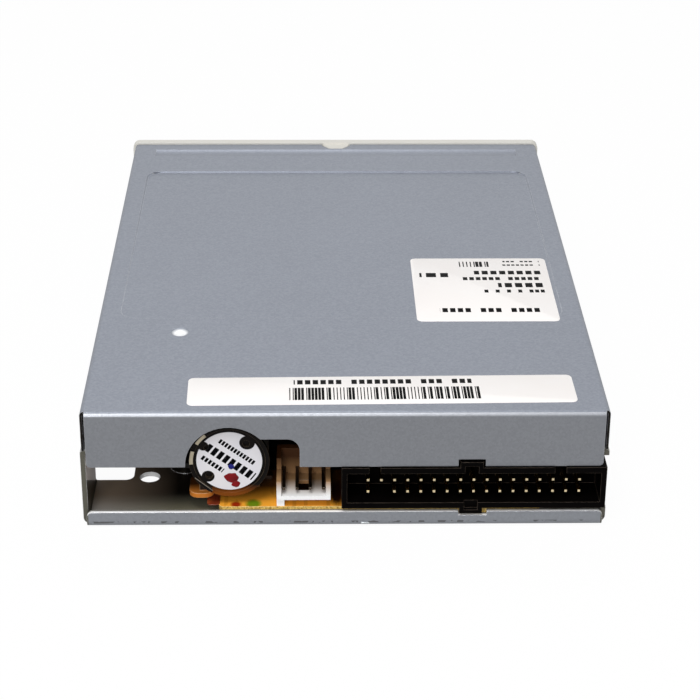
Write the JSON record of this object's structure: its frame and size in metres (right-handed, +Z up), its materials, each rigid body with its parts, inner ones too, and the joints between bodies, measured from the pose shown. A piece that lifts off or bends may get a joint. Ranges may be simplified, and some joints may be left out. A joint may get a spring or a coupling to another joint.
{
  "type": "floppy disk drive",
  "caption": "Slim 3.5 inch floppy disk drive: folded steel case, plastic bezel with a sprung door, eject mechanism, spindle motor, stepper and head carriage, connectors at the rear.",
  "frame": {"origin": "middle of the base of the whole drive, at the height of the chassis floor's underside", "axes": "+X to the right seen from the front, +Y from the bezel to the connectors, +Z up"},
  "size_m": [0.1016, 0.1464, 0.0254],
  "materials": {
    "galvanised_steel": "zinc coated sheet",
    "bright_steel": "plated sheet",
    "ground_steel": "ground",
    "spring_wire": "drawn wire",
    "motor_steel": "dull plated",
    "cast_metal": "turned",
    "bearing_brass": "turned",
    "coil_wire": "enamelled copper",
    "contact_pins": "plated",
    "magnet": "sintered",
    "front_plastic": "fine texture",
    "white_plastic": "moulded",
    "black_plastic": "moulded",
    "grey_plastic": "glass filled",
    "board_laminate": "paper phenolic",
    "lamp_plastic": "clear green"
  },
  "bodies": {
    "frame": {"chassis": "galvanised_steel", "top_cover": "galvanised_steel", "stepper_bracket": "bright_steel", "board_screws": "bright_steel", "bracket_screws": "bright_steel", "clamp_screws": "bright_steel", "spindle_bearing": "ground_steel", "guide_rod": "ground_steel", "eject_springs": "spring_wire", "stepper_case": "motor_steel", "stepper_end_cap": "motor_steel", "stator_core": "motor_steel", "rod_clamps": "cast_metal", "bearing_housing": "bearing_brass", "stator_coils": "coil_wire", "header_pins": "contact_pins", "power_pins": "contact_pins", "front_bezel": "front_plastic", "power_connector": "white_plastic", "data_header": "black_plastic", "control_chip": "black_plastic", "drive_chip": "black_plastic", "track_sensor": "black_plastic", "switch_bodies": "black_plastic", "main_board": "board_laminate", "stepper_terminal": "board_laminate", "board_parts": "board_laminate", "motor_board": "board_laminate", "lamp": "lamp_plastic", "lamp_lens": "lamp_plastic"},
    "slider": {"eject_slide": "bright_steel", "eject_button": "front_plastic"},
    "carrier": {"disk_carrier": "bright_steel", "carrier_pins": "ground_steel", "lever_pivot_pin": "ground_steel", "lever_spring": "spring_wire"},
    "lever": {"shutter_lever": "white_plastic"},
    "door": {"door_flap": "front_plastic", "door_spring": "spring_wire"},
    "spindle": {"rotor_cup": "bright_steel", "ring_magnet": "magnet", "spindle_shaft": "ground_steel", "spindle_hub": "cast_metal", "chuck_magnet": "magnet"},
    "drive_arm": {"drive_pin_arm": "bearing_brass"},
    "carriage": {"head_carriage": "grey_plastic", "lower_head": "black_plastic", "arm_hinge_pin": "ground_steel", "arm_spring": "spring_wire", "follower_needle": "ground_steel"},
    "head_arm": {"upper_arm": "grey_plastic", "upper_head": "black_plastic"},
    "screw": {"lead_screw": "ground_steel"},
    "protect_switch": {"protect_plunger": "white_plastic"},
    "disk_switch": {"disk_plunger": "white_plastic"},
    "density_switch": {"density_plunger": "white_plastic"}
  },
  "joints": [
    {"name": "eject_slide", "type": "slide", "parent": "frame", "child": "slider", "axis": [0, 1, 0], "range_m": [-0.0066, 0], "deforming": ["eject_springs"]},
    {"name": "carrier_lift", "type": "slide", "parent": "frame", "child": "carrier", "axis": [0, 0, 1], "range_m": [-0.0036, 0]},
    {"name": "lever_swing", "type": "hinge", "parent": "carrier", "child": "lever", "pos_m": [-0.015, 0.0297, 0.017], "axis": [0, 0, 1], "range_deg": [-72, 0]},
    {"name": "door_swing", "type": "hinge", "parent": "frame", "child": "door", "pos_m": [0, -0.0666, 0.0169], "axis": [1, 0, 0], "range_deg": [0, 86], "stiffness_Nm_per_rad": 0.002, "springref_deg": -17.19},
    {"name": "spindle_spin", "type": "hinge", "parent": "frame", "child": "spindle", "pos_m": [0, -0.0203, 0.006], "axis": [0, 0, 1], "continuous": true},
    {"name": "drive_pin_swing", "type": "hinge", "parent": "spindle", "child": "drive_arm", "pos_m": [0, -0.0105, 0.0068], "axis": [0, 0, -1], "range_deg": [0, 3], "stiffness_Nm_per_rad": 0.002},
    {"name": "head_seek", "type": "slide", "parent": "frame", "child": "carriage", "axis": [0, 1, 0], "range_m": [-0.0148, 0]},
    {"name": "arm_lower", "type": "hinge", "parent": "carriage", "child": "head_arm", "pos_m": [0, 0.0507, 0.013], "axis": [1, 0, 0], "range_deg": [0, 10.5]},
    {"name": "screw_spin", "type": "hinge", "parent": "frame", "child": "screw", "pos_m": [0.0222, 0.0408, 0.0136], "axis": [0, 1, 0], "range_deg": [-1421, 0]},
    {"name": "protect_press", "type": "slide", "parent": "frame", "child": "protect_switch", "axis": [0, 0, -1], "range_m": [0, 0.0017], "stiffness_N_per_m": 60},
    {"name": "disk_press", "type": "slide", "parent": "frame", "child": "disk_switch", "axis": [0, 0, -1], "range_m": [0, 0.0017], "stiffness_N_per_m": 60},
    {"name": "density_press", "type": "slide", "parent": "frame", "child": "density_switch", "axis": [0, 0, -1], "range_m": [0, 0.0017], "stiffness_N_per_m": 60}
  ],
  "couplings": [
    {"joint": "carrier_lift", "follows": "eject_slide", "ratio": 0.54545},
    {"joint": "lever_swing", "follows": "eject_slide", "rad_per_m": 190.39},
    {"joint": "arm_lower", "follows": "eject_slide", "rad_per_m": -27.766},
    {"joint": "screw_spin", "follows": "head_seek", "rad_per_m": 1675.5}
  ]
}
